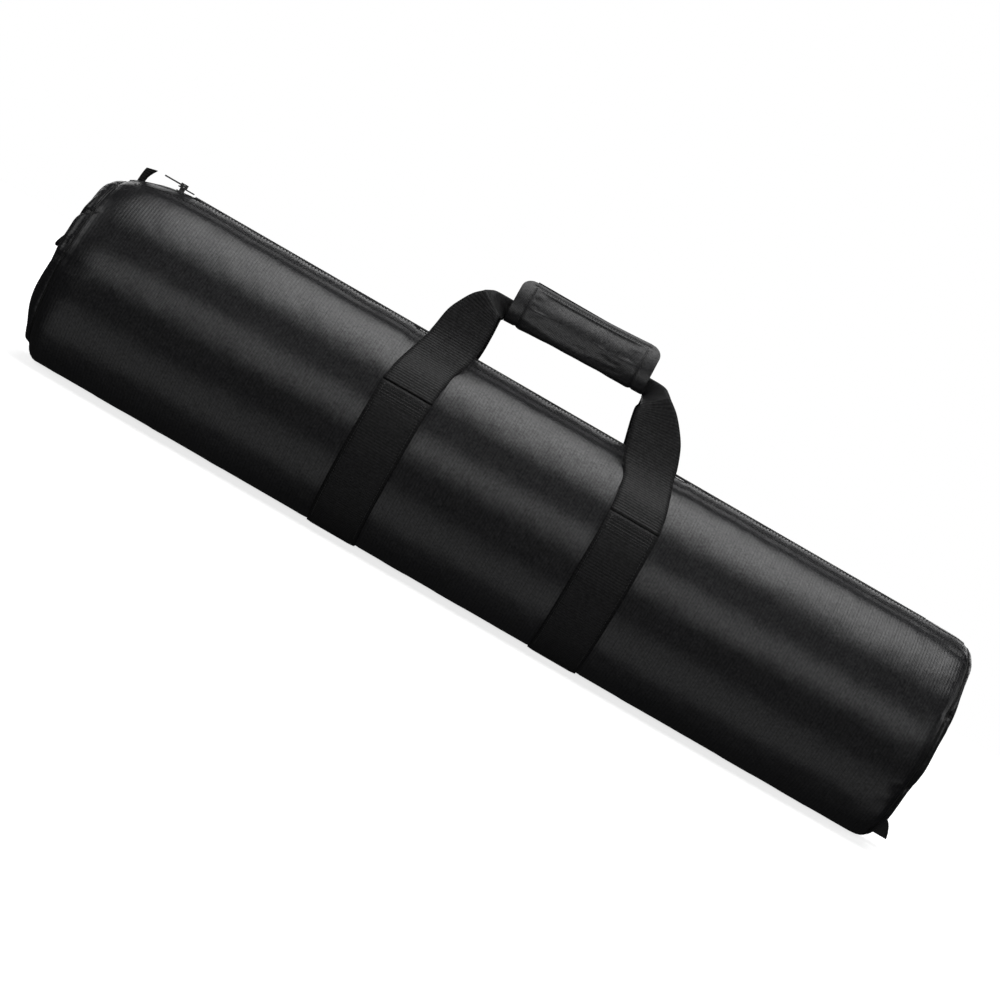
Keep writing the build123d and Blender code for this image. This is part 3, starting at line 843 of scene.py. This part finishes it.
# ---- zip ----------------------------------------------------------------
def zip_side(name, side):
    """One side's tape and coil: side is -1 at the front and 1 at the rear."""
    x = np.linspace(ZIP_LEFT, ZIP_RIGHT, 200)
    edge = RADIUS * cos(LIP_EDGE) + 1.5 * MM
    outer_y = np.full_like(x, side * edge)
    inner_y = np.full_like(x, side * 1.6 * MM)
    a = np.stack([x, outer_y, np.full_like(x, CREST - 1.7 * MM)], axis=-1)
    b = np.stack([x, inner_y, np.full_like(x, CREST - 0.9 * MM)], axis=-1)
    tape = ribbon(name + "_zip_tape_cloth", *((a, b) if side > 0 else (b, a)), 0.8 * MM, TAPE, 6)
    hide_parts(name + "_zip_tape")
    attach(tape, name + "_lip")
    points, faces = [], []
    pitch, thread, sides = 1.7 * MM, 0.5 * MM, 6
    count = int((ZIP_RIGHT - ZIP_LEFT) / pitch)
    for tooth in range(count):
        at = ZIP_LEFT + (tooth + (0.25 if side < 0 else 0.75)) * pitch
        base = len(points)
        path = [(3.2, -0.9, 0), (2.4, 0.1, 0.0), (1.0, 0.35, 0.0), (0.05, 0.0, 0.05), (-0.5, -0.55, 0.1)]
        for out, up, over in path:
            centre = np.array([at + over * MM, side * (out + 0.55) * MM, COIL_TOP - 0.7 * MM + up * MM])
            swell = 1.25 if out < 0.5 else 1.0
            for k in range(sides):
                turn = 2 * pi * k / sides
                points.append(centre + thread * swell * np.array([cos(turn), 0, sin(turn)]))
        for ring in range(len(path) - 1):
            for k in range(sides):
                a0, b0 = base + ring * sides + k, base + ring * sides + (k + 1) % sides
                quad = (a0, b0, b0 + sides, a0 + sides)
                faces.append(quad if side < 0 else quad[::-1])
        cap = tuple(base + k for k in range(sides))
        far_cap = tuple(base + (len(path) - 1) * sides + k for k in range(sides))
        faces.append(cap[::-1] if side < 0 else cap)
        faces.append(far_cap if side < 0 else far_cap[::-1])
    coil = mesh_piece(name + "_zip_coil_teeth", points, faces, material=COIL)
    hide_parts(name + "_zip_coil")
    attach(coil, name + "_lip")
    for label, angle in (("seam", 70.0), ("edge", 82.6)):
        phi = radians(angle)
        place = phi if side < 0 else -pi - phi
        xs = np.linspace(-HALF + 8 * MM, HALF - 8 * MM, 300)
        line = shell_point(xs, np.full_like(xs, place))
        normals = shell_normal(xs, np.full_like(xs, place))
        row = stitches(f"{name}_zip_{label}_stitches", [(line, normals)], 3.4 * MM, 2.5 * MM, 0.34 * MM)
        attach(row, name + "_lip")


zip_side("front", -1)
zip_side("rear", 1)


def end_patch(name, x_from, x_to, slot_from, slot_to):
    """The sewn patch at one end of the zip, domed over the tube's shoulder and slotted for the slider."""
    columns = int(abs(x_to - x_from) / (1 * MM))
    x = np.linspace(x_from, x_to, columns)
    for label, y_from, y_to in (("front", -12.0, -1.3), ("rear", 1.3, 12.0)):
        y = np.linspace(y_from, y_to, 12) * MM
        xx, yy = np.meshgrid(x, y, indexing="ij")
        closed = 1 - np.clip(np.minimum(xx - slot_from, slot_to - xx) / (3 * MM), 0, 1)
        yy = yy - np.sign(yy) * closed * 1.3 * MM * (1 - (np.abs(yy) - 1.3 * MM) / (10.7 * MM))
        phi = np.arccos(np.clip(-yy / RADIUS, -1, 1))
        z = shell_point(xx, phi)[..., 2]
        top = np.stack([xx, yy, z + 0.5 * MM], axis=-1)
        bottom = top - np.array([0, 0, 1.3 * MM])
        uv = np.stack([xx, yy], axis=-1)
        half = pad(f"{name}_{label}", top[::-1], bottom[::-1], uv[::-1], COVER)
        if label == "front":
            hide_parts(name)
        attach(half, "root")


end_patch("left_zip_end_patch", -HALF + 1 * MM, ZIP_LEFT - 0.5 * MM, ZIP_LEFT - 23 * MM, 0.0)
end_patch("right_zip_end_patch", ZIP_RIGHT + 0.5 * MM, HALF - 1 * MM, 0.0, ZIP_RIGHT + 22 * MM)


# ---- tabs and rings -----------------------------------------------------
def zip_end_tab():
    """A stub of webbing, pinched at its foot and cut on a slant."""
    outer = [(-435.2, 86), (-434.6, 94), (-434, 100), (-433, 105)]
    inner = [(-428.4, 87), (-428.6, 94), (-427, 100), (-422.8, 107.4)]
    edges = []
    for side, shape in ((-1, outer), (1, inner)):
        points = [(x * MM, side * 1.5 * MM, AXIS + z * MM) for x, z in shape]
        edges.append(catmull(points, 6))
    tab = ribbon("left_zip_end_tab_webbing", edges[1], edges[0], 1.6 * MM, WEBBING, 6)
    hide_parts("left_zip_end_tab")
    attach(tab, "root")


def right_end_tab():
    """A wedge of webbing under the right end, its top sloping down to the tip."""
    low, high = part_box("right_end_tab")
    tip, bottom = high[0], low[2]
    rows = 8
    slope = [(-29, 24), (-19, 20), (-11.5, 14.8), (-7.5, 7.4), (-5.6, 0.3)]
    curve = catmull([(tip + x * MM, 0, bottom + h * MM) for x, h in slope], 5)
    y = np.linspace(-12, 12, rows) * MM
    outer = np.repeat(curve[:, None], rows, axis=1)
    outer[..., 1] = y[None, :]
    inner = outer.copy()
    inner[..., 2] = bottom + 0.2 * MM
    uv = np.stack([outer[..., 1], outer[..., 0]], axis=-1)
    tab = pad("right_end_tab_webbing", outer[:, ::-1], inner[:, ::-1], uv, WEBBING)
    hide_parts("right_end_tab")
    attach(tab, "root")


zip_end_tab()
right_end_tab()


def ring_loop(side):
    """Webbing sewn to an end panel and folded round its D-ring's bar."""
    name = "left_d_ring" if side < 0 else "right_d_ring"
    hinge = joints[name + "_hinge"]["pos_m"]
    shape = [(-4.5, 17), (-1.2, 12), (0.9, 6), (2.5, 1.5), (2.3, -1.8), (0, -3.0), (-2.4, -1.8),
             (-2.6, 1.5), (-4.2, 6), (-5.4, 12)]
    points = [(hinge[0] + side * dx * MM, 0.0, hinge[2] + dz * MM) for dx, dz in shape]
    curve = catmull(points, 5)
    a, b = curve.copy(), curve.copy()
    a[:, 1], b[:, 1] = -9.5 * MM, 9.5 * MM
    edges = (b, a) if side > 0 else (a, b)
    loop = ribbon(name + "_loop_webbing", *edges, 1.3 * MM, WEBBING, 8)
    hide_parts(name + "_loop")
    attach(loop, "root")


ring_loop(-1)
ring_loop(1)


def repaint(node, material):
    """Give a CAD node that stays visible its finished material."""
    mesh = frame["nodes"][node].data
    mesh.materials.clear()
    mesh.materials.append(material)


for material, nodes in (
    (METAL, ("zip_slider", "zip_pull")),
    (RING, ("left_d_ring", "right_d_ring")),
    (TOUCH, ("grip_hook_strip", "grip_loop_strip")),
    (TAPE, ("left_seam_binding", "right_seam_binding")),
):
    for node in nodes:
        repaint(node, material)


# ---- stage, light and camera -------------------------------------------
def strip_light(name, elevation, distance, size, power, azimuth=-90.0):
    """A soft strip that faces the bag, at an elevation above the floor's plane, on the given side."""
    light = bpy.data.lights.new(name, "AREA")
    light.shape = "RECTANGLE"
    light.size, light.size_y = size
    light.energy = power
    lamp = bpy.data.objects.new(name, light)
    bpy.context.collection.objects.link(lamp)
    e, a = radians(elevation), radians(azimuth)
    away = Vector((cos(e) * cos(a), cos(e) * sin(a), sin(e)))
    lamp.location = Vector((0, 0, AXIS)) + away * distance
    lamp.rotation_euler = away.to_track_quat("Z", "Y").to_euler()
    lamp.visible_camera = False


strip_light("overhead", 90, 1.5, (1.7, 1.25), 20)
strip_light("front", 13.5, 2.3, (3.2, 0.8), 14.5)
strip_light("low", -60, 1.3, (2.6, 1.0), 3.3)
strip_light("rear", 14, 2.3, (3.2, 0.8), 12, 90.0)
strip_light("left_end", 20, 1.6, (0.8, 0.8), 2, 180.0)
strip_light("right_end", 20, 1.6, (0.8, 0.8), 2, 0.0)

world = bpy.data.worlds.new("studio")
bpy.context.scene.world = world
world.use_nodes = True
tree = world.node_tree
tree.nodes.clear()
seen = add(tree, "ShaderNodeBackground")
seen.inputs["Color"].default_value = (1, 1, 1, 1)
felt = add(tree, "ShaderNodeBackground")
felt.inputs["Color"].default_value = (1, 1, 1, 1)
felt.inputs["Strength"].default_value = 0.012
mixer = add(tree, "ShaderNodeMixShader")
tree.links.new(add(tree, "ShaderNodeLightPath").outputs["Is Camera Ray"], mixer.inputs["Fac"])
tree.links.new(felt.outputs[0], mixer.inputs[1])
tree.links.new(seen.outputs[0], mixer.inputs[2])
tree.links.new(mixer.outputs[0], add(tree, "ShaderNodeOutputWorld").inputs["Surface"])

floor = mesh_piece("floor", [(-3, -3, 0), (3, -3, 0), (3, 3, 0), (-3, 3, 0)], [(0, 1, 2, 3)])
floor_material, tree, shader = new_material("floor")
shader.inputs["Base Color"].default_value = (0.8, 0.8, 0.8, 1)
shader.inputs["Roughness"].default_value = 0.9
shader.inputs["Emission Color"].default_value = (1, 1, 1, 1)
place = add(tree, "ShaderNodeTexCoord").outputs["Object"]
distance = add(tree, "ShaderNodeVectorMath", operation="LENGTH")
tree.links.new(place, distance.inputs[0])
spread = add(tree, "ShaderNodeMapRange")
spread.inputs["From Min"].default_value = 0.3
spread.inputs["From Max"].default_value = 1.4
spread.inputs["To Min"].default_value = 0.75
spread.inputs["To Max"].default_value = 1.0
tree.links.new(distance.outputs["Value"], spread.inputs["Value"])
tree.links.new(spread.outputs["Result"], shader.inputs["Emission Strength"])
floor.data.materials.append(floor_material)
floor.location.z = -0.2 * MM
for ray in ("visible_diffuse", "visible_glossy", "visible_shadow", "visible_transmission"):
    setattr(floor, ray, False)

CAMERA_DISTANCE = 2.5
CAMERA_RISE = radians(3)
CAMERA_ROLL = radians(30)
camera_data = bpy.data.cameras.new("camera")
camera_data.sensor_width = 36
camera_data.lens = 97.2
camera = bpy.data.objects.new("camera", camera_data)
bpy.context.collection.objects.link(camera)
back = Vector((0, -cos(CAMERA_RISE), sin(CAMERA_RISE)))
right = Vector((1, 0, 0))
up = back.cross(right)
turned_right = right * cos(CAMERA_ROLL) + up * sin(CAMERA_ROLL)
turned_up = up * cos(CAMERA_ROLL) - right * sin(CAMERA_ROLL)
target = Vector((3 * MM, 0, AXIS + 1.9 * MM))
turn = Matrix((turned_right, turned_up, back)).transposed().to_4x4()
camera.matrix_world = Matrix.Translation(target + back * CAMERA_DISTANCE) @ turn
bpy.context.scene.camera = camera
bpy.context.scene.view_settings.view_transform = "Standard"
